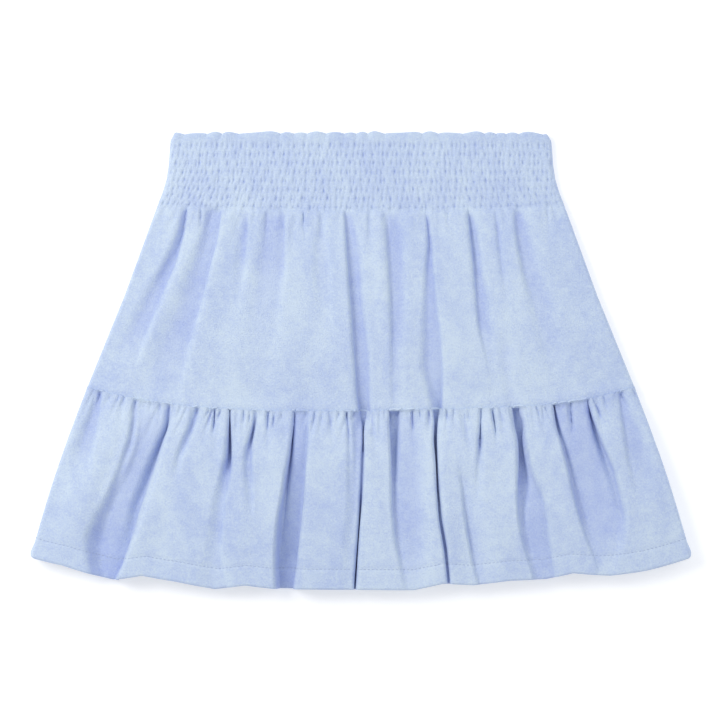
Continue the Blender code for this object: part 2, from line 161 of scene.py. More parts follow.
ruffleCloth = {
    "crown": (14.5, 18.5, 20.5, 20.0),
    "floor": 3.6,
    "hemFloor": 6.0,
    "hemFrom": 0.885,
    "sideDrop": 0.25,
    "rows": 78,
    "frontStep": 1.05,
    "backColumns": 90,
    "belly": 2.4,
    # count, seed, depth, widths, lengths and how much of it starts at the seam
    "smallGathers": (62, 23, 3.1, (0.75, 1.15), (7, 9, 12, 16), 0.55),
    "wideGathers": (34, 29, 2.2, (1.1, 2.0), (14, 20, 30), 0.5),
    "waves": (0.8, 8.7, 11, 1.4),
    "wavesFrom": (0, 0.3),
    "lean": 1.5,
    # how far the crown stands over the tier at the seam, and how soon it is itself
    "seamStep": 1.9,
    "seamBlend": 9,
    "troughsOpen": 0.9,
    "floorRise": (0.8, 0.9),
    # the top edge laps up over the seam: how far, how much less for each mm of pucker,
    # its least, and over what reach
    "lap": (1.3, 0.9, -0.1, 1.4),
    "sagTo": (0.0, 0.5),
    # the line of stitches at the hem: reach, depth in front, rise on the back
    "groove": (0.9, 0.55, 0.3),
    "lowest": 2.3,
    # the rolled lower edge: reach, drop in front, rise on the back
    "edge": (1.6, 1.2, 1.0),
    "hemLineFrom": (0.35, 1.0),
    "corner": 4.0,
    "cornerFrom": (0.9, 1.0),
    "backTop": (0.8, 3),
    "sideHeight": 2.6,
    "sideRound": (2.5, 3),
    # a pucker gets painted shade from this depth on, so much for each mm, up to so many mm
    "puckerShade": (0.9, 0.22, 3),
    "folds": [
        (((0, -222.7, -218.9, 0.6), (0.08, -226.1, -221, 0.4), (0.22, -235.4, -223.5, 0.3),
          (0.34, -241.4, -227.8, 0.25), (0.48, -245.7, -231.2, 0)), (3, 9), (1.6, 6)),
        (((0, -211.7, -198.9, -0.03), (0.2, -221.8, -204.8, -0.07), (0.44, -235.4, -218.4, -0.09),
          (0.73, -252.4, -233.8, -0.08), (0.95, -264.3, -243.9, 0)), (10, 14), (4, 8)),
        (((0, -192.9, -188.7, 0.3), (0.12, -194.6, -190.3, 0.41), (0.23, -197.2, -192.4, 0.38),
          (0.37, -204, -198.9, 0.26), (0.52, -212.5, -206.5, 0.16), (0.67, -218.4, -212.5, 0.06),
          (0.8, -221.8, -216.8, 0)), (1.4, 4), (2, 5)),
        (((0, -188.7, -162.3, 0.12), (0.1, -189.5, -162.9, 0.26), (0.21, -190.1, -166.3, 0.38),
          (0.36, -196.9, -173.4, 0.46), (0.5, -208, -181, 0.52), (0.65, -219.9, -188.5, 0.62),
          (0.8, -228.7, -194.2, 0.82), (0.94, -227.3, -201.8, 0.98), (1, -224.4, -207.4, 0.72)),
         (3, 9), (1.3, 1.5)),
        (((0, -164, -160.7, 0.32), (0.12, -166.9, -161.8, 0.76), (0.23, -174.1, -167.3, 0.88),
          (0.35, -181, -173.4, 0.85), (0.47, -187.6, -179.9, 0.79), (0.58, -194.1, -186.4, 0.66),
          (0.7, -198, -189.5, 0.47), (0.81, -202.5, -194.8, 0.28), (0.93, -208.6, -201.8, 0.14),
          (1, -213.3, -207.4, 0.1)), (2.5, 6), (1.2, 1.4)),
        (((0.09, -160.3, -153.5, -0.03), (0.37, -170.8, -160.7, -0.06),
          (0.66, -184.4, -172.5, -0.07), (0.95, -201.7, -188.1, -0.05)), (1.6, 2), (8, 14)),
        (((0, -140.2, -136.8, 0.5), (0.1, -145.3, -140.2, 0.35), (0.22, -153, -147.9, 0.3),
          (0.31, -157.2, -152.2, 0.15), (0.41, -158.9, -153.8, 0)), (2, 4), (1.5, 4)),
        (((0, -125, -122.4, 0.6), (0.08, -125.8, -123.2, 0.45), (0.14, -126.6, -124.1, 0)),
         (1.2, 1.5), (1.2, 1.5)),
        (((0, -112.6, -109.6, 0.9), (0.09, -113.2, -108.8, 1), (0.2, -113.9, -108.1, 0.97),
          (0.28, -114.8, -108.4, 0.75), (0.37, -117.6, -110.2, 0.32),
          (0.51, -122.4, -114.8, 0.24), (0.68, -125.8, -117.3, 0.2), (0.8, -128.3, -119, 0.16),
          (0.94, -132.6, -114.8, 0.18), (1, -131.8, -111.3, 0.2)), (1.3, 8), (1.3, 2.5)),
        (((0, -91.4, -87.5, 0.2), (0.06, -92.1, -88.1, 0.55), (0.14, -94.5, -89.8, 0.8),
          (0.2, -97, -92.1, 0.4), (0.29, -98.8, -91.6, 0.24), (0.4, -97.4, -91.3, 0.2),
          (0.51, -96, -91, 0.12), (0.63, -96, -91, 0)), (1.4, 6), (1.2, 2)),
        (((0, -79.9, -77.3, 0.45), (0.1, -79.9, -78.2, 0.3), (0.17, -80.8, -79, 0)),
         (1.4, 1.8), (1.3, 1.8)),
        (((0, -57.6, -56, 0.63), (0.11, -59, -56.1, 0.83), (0.23, -61.4, -56.9, 0.73),
          (0.34, -63.4, -58.9, 0.67), (0.45, -66.2, -61.1, 0.65), (0.62, -71, -63.5, 0.7),
          (0.76, -72.5, -65.8, 0.75), (0.87, -72.8, -67.7, 0.75), (1, -72.2, -66.7, 0.7)),
         (1.4, 2.6), (1.4, 2.4)),
        (((0, -56.3, -44.2, 0.22), (0.17, -57.5, -44.5, 0.32), (0.34, -63.9, -46.5, 0.56),
          (0.51, -67.2, -47.6, 0.77), (0.67, -69.9, -50.1, 0.9), (0.84, -71.7, -52.7, 0.99),
          (1, -71, -56.1, 0.99)), (2, 3), (1.3, 1.3)),
        (((0, -45, -38.2, -0.03), (0.34, -46.8, -38.2, -0.06), (0.67, -50.1, -40.8, -0.06),
          (0.93, -53.5, -44.2, -0.04)), (1.6, 2), (8, 12)),
        (((0, -13.6, -11, 0.5), (0.17, -11, -8.5, 0.16), (0.39, -11.9, -7.6, 0.08),
          (0.57, -11.9, -7.6, 0)), (1.4, 2.5), (1.4, 2.5)),
        (((0, -7.6, 0, 0.35), (0.22, -6.8, 0.8, 0.28), (0.51, -9.3, -0.8, 0.2),
          (0.76, -12.8, -2.5, 0.12), (1, -14.4, -5.1, 0.1)), (3, 6), (2, 2)),
        (((0, -3.4, 6.4, 1.1), (0.06, -0.5, 5, 1.15), (0.11, 0.2, 3.9, 1.1),
          (0.17, 0.4, 3.7, 0.9), (0.24, 0.2, 3.4, 0.5), (0.39, -0.7, 2.5, 0.45),
          (0.53, -1.9, 1.5, 0.62), (0.65, -3.2, 0.2, 0.85), (0.78, -4.8, -1, 1.02),
          (0.93, -6.3, -2.7, 0.7), (1, -7, -3.4, 0.75)), (1.1, 1.2), (1.1, 1.2)),
        (((0, 22.9, 33.6, 0.83), (0.08, 22.9, 33.2, 0.85), (0.2, 23.9, 32.3, 0.8),
          (0.28, 24.6, 31.1, 0.63), (0.39, 25.1, 29.8, 0.28), (0.56, 26.3, 29.8, 0.1),
          (0.73, 28.9, 32.3, 0.06), (0.87, 33.1, 38.2, 0.04), (1, 36.5, 41.6, 0)),
         (1.2, 1.5), (1.4, 5)),
        (((0, 25.5, 50.1, 0.14), (0.17, 25.5, 51, 0.24), (0.39, 25.5, 51.9, 0.34),
          (0.56, 26.3, 52.7, 0.34), (0.73, 28.9, 53.5, 0.29), (0.87, 34, 53.5, 0.2),
          (1, 37.4, 54.4, 0.12)), (1.4, 3), (7, 9)),
        (((0, 42.5, 44.2, 0.6), (0.08, 42.5, 45, 0.5), (0.12, 43.4, 45, 0)),
         (1.2, 1.5), (1.2, 1.5)),
        (((0, 59.5, 68, 0.99), (0.07, 60.7, 66.1, 1.05), (0.17, 60.1, 65.2, 1),
          (0.28, 61.7, 65.9, 1.01), (0.45, 63.2, 66.9, 0.65), (0.62, 65.2, 68.9, 0.46),
          (0.79, 69.4, 73.2, 0.46), (1, 72.7, 76.2, 0.47)), (1.1, 1.2), (1.1, 1.2)),
        (((0.09, 68.8, 74, -0.03), (0.34, 68.3, 75.1, -0.05), (0.68, 71.8, 79.5, -0.05),
          (0.93, 76.1, 82.9, -0.04)), (1.6, 2), (7, 10)),
        (((0.29, 80.8, 83.3, 0), (0.4, 84.1, 91.8, 0.2), (0.57, 86.7, 96, 0.26),
          (0.73, 90.1, 101.1, 0.28), (0.88, 94.3, 106.2, 0.26), (1, 99.5, 109.6, 0.2)),
         (1.3, 1.6), (8, 12)),
        (((0, 100.3, 102.5, 0.9), (0.12, 99.5, 102.5, 0.85), (0.2, 98.6, 102.8, 0.4),
          (0.31, 97.8, 102.8, 0.15), (0.45, 96, 102, 0.06), (0.58, 95.2, 101.1, 0)),
         (1.4, 3), (1.6, 5)),
        (((0, 110.5, 112.6, 0.4), (0.13, 113, 114.8, 0.3), (0.19, 113.9, 115.6, 0)),
         (1.4, 1.6), (1.4, 1.6)),
        (((0.1, 119.8, 127.5, -0.03), (0.29, 122.4, 130, -0.05), (0.57, 124.1, 131.8, -0.04),
          (0.86, 130, 136.8, 0)), (9, 12), (2, 3)),
        (((0, 126.6, 134.3, 0.9), (0.1, 128.9, 139.3, 1), (0.18, 131.3, 137.9, 1),
          (0.27, 132.1, 139.6, 0.97), (0.38, 131.9, 142.6, 0.75), (0.47, 131.8, 142.1, 0.4),
          (0.58, 132, 138.8, 0.24), (0.69, 133.5, 138.3, 0.18), (0.8, 137.1, 141.9, 0.16),
          (1, 145.8, 150.4, 0.12)), (1.2, 1.5), (1.4, 3)),
        (((0, 130, 138.5, 0.19), (0.19, 132.2, 140.2, 0.27), (0.38, 132.7, 146, 0.33),
          (0.5, 133.3, 153.3, 0.32), (0.64, 134.3, 157.2, 0.3), (0.78, 138.7, 159.2, 0.31),
          (0.89, 144, 161.5, 0.29), (1, 148.3, 164.9, 0.27)), (2, 4), (1.6, 2)),
        (((0, 161.5, 165.3, 0.95), (0.12, 164, 169.2, 0.9), (0.23, 169.2, 173.4, 0.5),
          (0.38, 175.1, 179.3, 0.3), (0.55, 179.9, 184.1, 0.2), (0.72, 186.5, 190.7, 0.18),
          (0.84, 192.9, 197.2, 0.14), (0.93, 198.9, 202.3, 0.05)), (1.2, 1.5), (1.6, 4)),
        (((0, 165.8, 191.2, 0.26), (0.16, 170, 198, 0.36), (0.28, 172.5, 205.8, 0.42),
          (0.42, 176.8, 213.5, 0.45), (0.57, 182.8, 219.7, 0.43), (0.68, 187, 223.1, 0.36),
          (0.82, 195.5, 220.6, 0.22), (1, 203.2, 212.1, 0.06)), (2, 4), (1.6, 6)),
        (((0, 176.8, 178.9, 0.6), (0.11, 177.7, 180.2, 0.45), (0.17, 178.5, 180.2, 0)),
         (1.2, 1.4), (1.2, 1.4)),
        (((0, 190.8, 192.9, 0.95), (0.11, 193, 197.8, 1), (0.21, 196, 203, 0.95),
          (0.3, 201.2, 207.9, 0.68), (0.41, 207.5, 214.1, 0.42), (0.53, 212.9, 217.8, 0.28),
          (0.67, 218.9, 222.9, 0.16), (0.78, 220.6, 224.6, 0)), (2, 6), (1.2, 1.6)),
        (((0.16, 205.7, 210.8, -0.03), (0.37, 214.2, 220.2, -0.06), (0.6, 223.5, 230.3, -0.05),
          (0.77, 226.9, 235.4, 0)), (1.6, 2), (7, 10)),
        (((0, 217.6, 221.8, 0.5), (0.13, 220.2, 228.7, 0.34), (0.25, 222.7, 237.2, 0.3),
          (0.37, 225.2, 243.9, 0.22), (0.51, 230.3, 245.7, 0.1), (0.65, 233.8, 245.7, 0)),
         (1.6, 4), (4, 10)),
    ],
    # how far the hem hangs below its smooth curve, by share of the half width
    "hemLine": [
        (-1.00, 0.0), (-0.90, -1.6), (-0.75, 1.8), (-0.66, -5.4), (-0.56, -3.2),
        (-0.44, 1.4), (-0.35, -2.6), (-0.26, 0.0), (0.16, 0.9), (0.25, -4.6),
        (0.34, -2.8), (0.45, -5.8), (0.56, -5.2), (0.64, -8.2), (0.75, -1.9),
        (0.86, 0.0), (1.00, 0.0),
    ],
}

# little folds that leave a seam: how uneven their places are, how their lengths and depths
# vary, how they slant, and how soon they open
gatherSpread = {
    "place": 0.36,
    "length": (0.8, 1.25),
    "depth": (0.45, 1.0),
    "slant": 0.22,
    "opening": 0.25,
}

# a deep, narrow wall of a trough is crisp: from what depth, up to what width, how crisp
foldWalls = {
    "crispDepth": (0.45, 0.9),
    "crispWidth": (2.6, 6),
    "crispness": 0.6,
    "steepWidth": 1.5,
}

waistCloth = {
    "rows": 64,
    "frontColumns": 480,
    "backColumns": 220,
    "elasticRows": 8,
    "heading": 11.4,
    "puffs": 75,
    "seed": 41,
    "unevenGaps": 0.33,
    "base": 5.6,
    "puffHeight": 1.0,
    "ridgeHeight": 0.8,
    "bulge": 0.05,
    "gapWidth": 0.72,
    "gapLength": 1.6,
    "threadWidth": 1.5,
    "pleatWidth": 1.15,
    # slow unevenness of the puffs: how wide, how tall, seed
    "puffWaves": (5.1, 7.5, 3.1),
    # the frill on top: how many lobes, how high they stand, how far it dips between them,
    # and how it lifts off the floor: by how much, the lobes by how much, around what value
    "lobes": 10,
    "frill": (2.1, 1.3),
    "frillLift": (0.3, 1.5, 0.5),
    "corner": 2.2,
    # the rolled top edge: reach, drop in front, rise on the back
    "edge": (1.8, 1.6, 0.8),
    # how much of the dimples, the elastic rows and the frill the back has
    "backShare": (0.45, 0.25, 0.6),
    "sideHeight": 2.6,
    "sideRound": (5, 3),
    # how much painted shade the dimples get for each mm they sink
    "dimpleShade": 0.2,
}

stitching = {
    "length": 2.3,
    "space": 1.1,
    "width": 0.75,
    "thick": 0.6,
    "light": (0.52, 0.60, 0.76, 1),
    "dark": (0.36, 0.44, 0.66, 1),
    "twist": 1900,
    "twistUneven": 1.5,
    "bumpStrength": 0.5,
    "bumpHeight": 0.0003,
    "roughness": 0.7,
}


def fading(distance, reach):
    # 1 at a line, and soft to 0 away from it
    return np.exp(-((distance / reach) ** 2))


def softStep(low, high, value):
    share = np.clip((value - low) / (high - low), 0, 1)
    return share * share * (3 - 2 * share)


def softCurve(values, share):
    # a soft curve through values at equal steps
    place = np.clip(share, 0, 1) * (len(values) - 1)
    step = np.minimum(place.astype(int), len(values) - 2)
    table = np.array(values, float)
    return table[step] + (table[step + 1] - table[step]) * softStep(0, 1, place - step)


def sectionAt(sections, down):
    # centre line, side rise and half width at shares of the way down a panel
    table = np.array(sections)
    y = table[0, 0] + (table[-1, 0] - table[0, 0]) * down
    rise = np.interp(-y, -table[:, 0], table[:, 1])
    half = np.interp(-y, -table[:, 0], table[:, 2])
    return y, rise, half


def cornerCut(x, half, corner):
    # how far a rounded corner is cut back at each x
    into = np.clip(np.abs(x) - (half - corner), 0, corner)
    return corner - np.sqrt(corner * corner - into * into)


def streaks(across, down, seed, wide, tall):
    # slow lengthwise waves from -1 to 1
    flat = [
        noise.noise(Vector((a * wide + seed, d * tall, seed * 0.37)))
        for a, d in zip(across.ravel(), down.ravel())
    ]
    return np.array(flat).reshape(across.shape) * 1.6


def foldEdges(path, down):
    # the two edges and the depth of a trough, its corners rounded off
    table = np.array(path, float)
    found = []
    for column in (1, 2, 3):
        found.append(sum(
            0.2 * np.interp(down + step, table[:, 0], table[:, column])
            for step in (-0.03, -0.015, 0, 0.015, 0.03)
        ))
    return found


def foldWall(place, wide, deep):
    # how far down its height a wall has come, from its rolled top to its foot
    way = np.clip((place / wide + 1) / 2, 0, 1)
    soft = way * way * (3 - 2 * way)
    rolled = 1 - np.sqrt(1 - way * way)
    narrow = 1 - softStep(*foldWalls["crispWidth"], wide)
    crisp = softStep(*foldWalls["crispDepth"], deep) * narrow * foldWalls["crispness"]
    steep = np.clip(foldWalls["steepWidth"] / wide, 0, 1) * np.sin(math.pi * way) ** 2
    return soft * (1 - crisp) + rolled * crisp, steep


def foldRelief(folds, across, down, half):
    # share of the crown's height that the troughs leave, and how far their walls lean in
    left = np.ones_like(across)
    lean = np.zeros_like(across)
    x = across * half
    for path, leftSide, rightSide in folds:
        leftEdge, rightEdge, deep = foldEdges(path, down)
        leftWide = leftSide[0] + (leftSide[1] - leftSide[0]) * down
        rightWide = rightSide[0] + (rightSide[1] - rightSide[0]) * down
        fromLeft, leftSteep = foldWall(x - leftEdge, leftWide, deep)
        fromRight, rightSteep = foldWall(rightEdge - x, rightWide, deep)
        left *= 1 - deep * fromLeft * fromRight
        lean += deep * (leftSteep * fromRight - rightSteep * fromLeft)
    return left, lean


def frontShares(folds, down, half, step):
    # places across a panel, in columns that follow the edges of its long troughs
    edges = []
    for path, leftSide, rightSide in folds:
        if path[0][0] > 0 or path[-1][0] < 0.5:
            continue
        leftEdge, rightEdge, deep = foldEdges(path, down)
        if np.max(deep) < 0.5:
            continue
        if max(leftSide) < 3:
            edges.append(leftEdge / half)
        if max(rightSide) < 3:
            edges.append(rightEdge / half)
    where = [-np.ones_like(down)]
    for edge in sorted(edges, key=lambda line: line[0]):
        if np.all(edge - where[-1] > 0.006) and np.all(edge < 0.97):
            where.append(edge)
    where.append(np.ones_like(down))
    found = [where[0]]
    for before, after in zip(where, where[1:]):
        count = max(2, round(float(np.mean((after - before) * half)) / step))
        for k in range(1, count + 1):
            even = k / count
            share = 0.6 * even + 0.4 * (1 - math.cos(math.pi * even)) / 2
            found.append(before + (after - before) * share)
    return np.stack(found, axis=1)


def backShares(rows, count):
    # from the right side back to the left, crowded at the sides
    even = np.arange(1, count + 1) / count
    share = 0.75 * even + 0.25 * (1 - np.cos(math.pi * even)) / 2
    return np.repeat((1 - 2 * share)[None, :], rows, axis=0)


def roundSides(z, settings, across, half, isFront):
    # front and back come together at the sides in quarter circles
    radius = settings["sideRound"][0 if isFront else 1]
    into = np.clip((1 - np.abs(across)) * half / radius, 0, 1)
    share = np.sqrt(np.clip(1 - (1 - into) ** 2, 0, 1))
    return settings["sideHeight"] + (z - settings["sideHeight"]) * share


def edgeRoll(inside, reach):
    # 0 well inside, in a quarter circle to 1 at the edge itself
    edge = 1 - np.clip(inside / reach, 0, 1)
    return 1 - np.sqrt(1 - edge * edge)


def panelLength(name):
    return outline[name][0][0] - outline[name][-1][0]


def gathers(across, below, half, settings):
    # little folds that leave a seam and die out, each with its own length
    count, seed, depth, widths, lengths, atSeam = settings
    uneven, slant = gatherSpread["place"], gatherSpread["slant"]
    rng = random.Random(seed)
    sink = np.zeros_like(across)
    for k in range(count):
        spot = -1 + (k + 0.5 + rng.uniform(-uneven, uneven)) * 2 / count
        reach = rng.choice(lengths) * rng.uniform(*gatherSpread["length"])
        deep = depth * rng.uniform(*gatherSpread["depth"])
        wide = rng.uniform(*widths)
        away = (across - spot) * half - rng.uniform(-slant, slant) * below
        spread = wide * (0.8 + 0.8 * below / reach)
        soon = gatherSpread["opening"] * reach
        opening = atSeam + (1 - atSeam) * (1 - np.exp(-below / soon))
        sink += deep * opening * np.exp(-((away / spread) ** 2) - (below / reach) ** 2)
    return sink


def rowPlaces(count, line=None):
    # shares of the way down, closer together at both ends, one of them on a line
    even = np.linspace(0, 1, count + 1)
    places = even - 0.5 * np.sin(2 * math.pi * even) / (2 * math.pi)
    if line:
        places[np.argmin(np.abs(places - line))] = line
    return places


def elasticGaps():
    # where each row of elastic thread nips the cloth, as shares of the half width
    rng = random.Random(waistCloth["seed"])
    uneven = waistCloth["unevenGaps"]
    count = waistCloth["puffs"]
    rows = []
    for k in range(waistCloth["elasticRows"]):
        rows.append(np.array(sorted(
            -1 + (n + 0.5 * (k % 2) + 0.25 + rng.uniform(-uneven, uneven)) * 2 / count
            for n in range(count)
        )))
    return rows


def nearest(values, places):
    # how far the nearest of some places is, and which it is
    at = np.clip(np.searchsorted(places, values), 1, len(places) - 1)
    before, after = places[at - 1], places[at]
    low = values - before
    high = after - values
    return np.minimum(np.abs(low), np.abs(high)), np.where(np.abs(low) < np.abs(high), at - 1, at)


def shirring(across, depth, half, gaps):
    # the sink of the dimples on the elastic rows and of the little pleats between them,
    # and how near a place is to a row
    settings = waistCloth
    length = panelLength("waist")
    pitch = (length - settings["heading"]) / (settings["elasticRows"] - 1)
    dimple = np.zeros_like(across)
    valley = np.zeros_like(across)
    weight = np.full_like(across, 1e-6)
    line = np.zeros_like(across)
    for k, places in enumerate(gaps):
        rowDepth = settings["heading"] + k * pitch
        away, which = nearest(across, places)
        # each dimple has its own height, length and depth, from sines of its number
        wobble = 0.8 * np.sin(which * 2.4 + k)
        long = settings["gapLength"] * (1 + 0.35 * np.sin(which * 5.1 + k * 1.3))
        upDown = depth - rowDepth - wobble
        if k == 0:
            long = np.where(upDown < 0, long * 1.3, long)
        deep = 0.8 + 0.2 * np.sin(which * 3.7 + k * 2.1)
        sharp = fading(away * half, settings["gapWidth"])
        dimple = np.maximum(dimple, deep * sharp * fading(upDown, long))
        line = np.maximum(line, fading(depth - rowDepth, settings["threadWidth"]))
        near = fading(upDown, 0.5 * pitch)
        valley += deep * near * fading(away * half, settings["pleatWidth"])
        weight += near
    fade = softStep(0, 8, depth - 4) * (1 - softStep(1.5, 5.5, depth - length))
    sink = settings["puffHeight"] * dimple + settings["ridgeHeight"] * valley / weight * fade
    return sink, line


def waistPoints(gaps):
    # x, y, z and painted shade of each point: the front's columns from left to right, then the
    # back's
    settings = waistCloth
    rows = settings["rows"]
    down = np.linspace(0, 1, rows + 1)
    length = panelLength("waist")
    even = np.linspace(-1, 1, settings["frontColumns"] + 1)
    front = np.repeat(even[None, :], rows + 1, axis=0)
    back = backShares(rows + 1, settings["backColumns"])
    reach, frontRoll, backRoll = settings["edge"]
    high, dip = settings["frill"]
    lift, swing, middle = settings["frillLift"]
    ofSink, ofLine, ofFrill = settings["backShare"]
    wide, tall, seed = settings["puffWaves"]
    sheets = []
    for across, isFront in ((front, True), (back, False)):
        downs = np.repeat(down[:, None], across.shape[1], axis=1)
        y, rise, half = sectionAt(outline["waist"], downs)
        depth = downs * length
        gapSet = gaps if isFront else [-places[::-1] for places in gaps]
        sink, line = shirring(across, depth, half, gapSet)
        x = across * half
        y = y + rise * np.abs(across) ** outline["sideCurve"]
        headed = 1 - softStep(0.0, 1.0, depth / settings["heading"])
        lobes = across * settings["lobes"] + 0.5 * np.sin(across * 7 + 1)
        lobes += 0.3 * np.sin(across * 17)
        frill = np.abs(np.sin(math.pi * lobes)) ** 0.8 * (0.75 + 0.25 * np.sin(across * 23))
        y += headed ** 2 * (high * frill - dip)
        y -= cornerCut(x, half, settings["corner"]) * headed
        roll = edgeRoll(depth, reach)
        if isFront:
            puff = streaks(across * half / wide, depth / tall, seed, 1.0, 1.0)
            z = settings["base"] + settings["puffHeight"] + settings["ridgeHeight"] - sink
            z += settings["bulge"] * (1 - line) * (1 + puff) * softStep(0, 4, length - depth)
            z += headed * (lift + swing * (frill - middle))
            z -= frontRoll * roll
        else:
            z = ofSink * sink + ofLine * line + headed * ofFrill * (1 - frill)
            z += backRoll * roll
        z = roundSides(z, settings, across, half, isFront)
        # the fourth value is painted shade in the dimples
        sheets.append(np.stack((x, y, z, settings["dimpleShade"] * sink), axis=2))
    return np.concatenate(sheets, axis=1)


def crownHeight(settings, across, down):
    crown = softCurve(settings["crown"], down)
    return crown * (1 - settings["sideDrop"] * np.abs(across) ** 6)


def slowWaves(settings, across, down):
    height, seed, wide, tall = settings["waves"]
    start, full = settings["wavesFrom"]
    return height * streaks(across, down, seed, wide, tall) * softStep(start, full, down)


def seamSag(across):
    # the seam under the upper tier hangs a little unevenly
    line = np.array(tierCloth["seamLine"])
    return np.interp(across, line[:, 0], line[:, 1])


def tierHeight(across, down, half):
    settings = tierCloth
    left, lean = foldRelief(settings["folds"], across, down, half)
    crown = crownHeight(settings, across, down)
    z = settings["floor"] + np.maximum(0, crown - settings["floor"]) * left
    z += slowWaves(settings, across, down)
    return z, lean, left


def tierPoints(gaps):
    settings = tierCloth
    rows = settings["rows"]
    down = rowPlaces(rows)
    halves = sectionAt(outline["tier"], down)[2]
    front = frontShares(settings["folds"], down, halves, settings["frontStep"])
    back = backShares(rows + 1, settings["backColumns"])
    length = panelLength("tier")
    tuckUp, tuckIn, tuckReach = settings["tuck"]
    rollHeight, rollPlace, rollReach = settings["footRoll"]
    nipDepth, nipReach = settings["footNip"]
    topLift, topReach = settings["backTop"]
    footLift, footReach = settings["backFoot"]
    sheets = []
    for across, isFront in ((front, True), (back, False)):
        downs = np.repeat(down[:, None], across.shape[1], axis=1)
        below = downs * length
        toFoot = (1 - downs) * length
        y, rise, half = sectionAt(outline["tier"], downs)
        x = across * half
        y = y + rise * np.abs(across) ** outline["sideCurve"]
        if isFront:
            z, lean, left = tierHeight(across, downs, half)
            sink = shirring(across, below + panelLength("waist"), half, gaps)[0]
            nipped = fading(below, settings["blend"])
            foot = waistCloth["base"] + waistCloth["puffHeight"] + waistCloth["ridgeHeight"]
            z = z * (1 - nipped) + foot * nipped - sink
            z -= gathers(across, below, half, settings["smallGathers"])
            z -= gathers(across, below, half, settings["wideGathers"])
            z += rollHeight * fading(toFoot - rollPlace, rollReach)
            z -= nipDepth * fading(toFoot, nipReach)
            tucked = fading(below, tuckReach)
            z -= tuckIn * tucked
            x = x + lean * settings["lean"]
            y = y + tuckUp * tucked - seamSag(across) * softStep(*settings["sagFrom"], downs)
        else:
            left = np.ones_like(across)
            z = topLift * fading(below, topReach) + footLift * fading(toFoot, footReach)
        z = roundSides(z, settings, across, half, isFront)
        # painted shade deep in the troughs, faded out just under the waist
        paintedTroughShade = (1 - left) * (1 - fading(below, settings["shadeReach"]))
        sheets.append(np.stack((x, y, z, paintedTroughShade), axis=2))
    return np.concatenate(sheets, axis=1)


def ruffleHeight(across, down, half, below, seam):
    # the crown starts near the tier's own height, and the troughs open just under the seam
    settings = ruffleCloth
    left, lean = foldRelief(settings["folds"], across, down, half)
    opened = 1 - fading(below, settings["troughsOpen"])
    left = 1 - (1 - left) * opened
    joined = fading(below, settings["seamBlend"])
    atSeam = (seam + settings["seamStep"]) * joined
    crown = crownHeight(settings, across, down) * (1 - joined) + atSeam
    raised = (settings["hemFloor"] - settings["floor"]) * softStep(*settings["floorRise"], down)
    floor = settings["floor"] + raised
    z = floor + np.maximum(0, crown - floor) * left
    z += slowWaves(settings, across, down)
    return z, lean * opened, left


def rufflePoints():
    settings = ruffleCloth
    rows = settings["rows"]
    down = rowPlaces(rows, settings["hemFrom"])
    halves = sectionAt(outline["ruffle"], down)[2]
    front = frontShares(settings["folds"], down, halves, settings["frontStep"])
    back = backShares(rows + 1, settings["backColumns"])
    length = panelLength("ruffle")
    hem = np.array(settings["hemLine"])
    lap, perPucker, leastLap, lapReach = settings["lap"]
    grooveReach, frontGroove, backGroove = settings["groove"]
    edgeReach, frontRoll, backRoll = settings["edge"]
    topLift, topReach = settings["backTop"]
    shadeFrom, tone, shadeMost = settings["puckerShade"]
    sheets = []
    for across, isFront in ((front, True), (back, False)):
        downs = np.repeat(down[:, None], across.shape[1], axis=1)
        below = downs * length
        y, rise, half = sectionAt(outline["ruffle"], downs)
        half = half + settings["belly"] * np.sin(math.pi * downs)
        x = across * half
        y = y + rise * np.abs(across) ** outline["sideCurve"]
        uneven = np.interp(across, hem[:, 0], hem[:, 1])
        y -= uneven * softStep(*settings["hemLineFrom"], downs)
        y += cornerCut(x, half, settings["corner"]) * softStep(*settings["cornerFrom"], downs)
        roll = edgeRoll((1 - downs) * length, edgeReach)
        groove = fading((downs - settings["hemFrom"]) * length, grooveReach)
        paintedTroughShade = np.zeros_like(across)
        if isFront:
            seam = tierHeight(across, np.ones_like(across), half)[0]
            z, lean, left = ruffleHeight(across, downs, half, below, seam)
            puckers = gathers(across, below, half, settings["smallGathers"])
            puckers += gathers(across, below, half, settings["wideGathers"])
            x = x + lean * settings["lean"]
            lapped = np.clip(lap - perPucker * puckers, leastLap, lap)
            y = y + lapped * fading(below, lapReach)
            y -= seamSag(across) * (1 - softStep(*settings["sagTo"], downs))
            z -= puckers + frontGroove * groove
            z = np.maximum(z, settings["lowest"])
            z -= frontRoll * roll
            # painted shade deep in the troughs and in the cores of the deeper puckers
            paintedTroughShade = np.maximum(1 - left, tone * np.clip(puckers - shadeFrom, 0, shadeMost))
        else:
            z = topLift * fading(below, topReach) + backGroove * groove
            z += backRoll * roll
        z = roundSides(z, settings, across, half, isFront)
        sheets.append(np.stack((x, y, z, paintedTroughShade), axis=2))
    return np.concatenate(sheets, axis=1)


def deselect():
    for item in bpy.context.selected_objects:
        item.select_set(False)


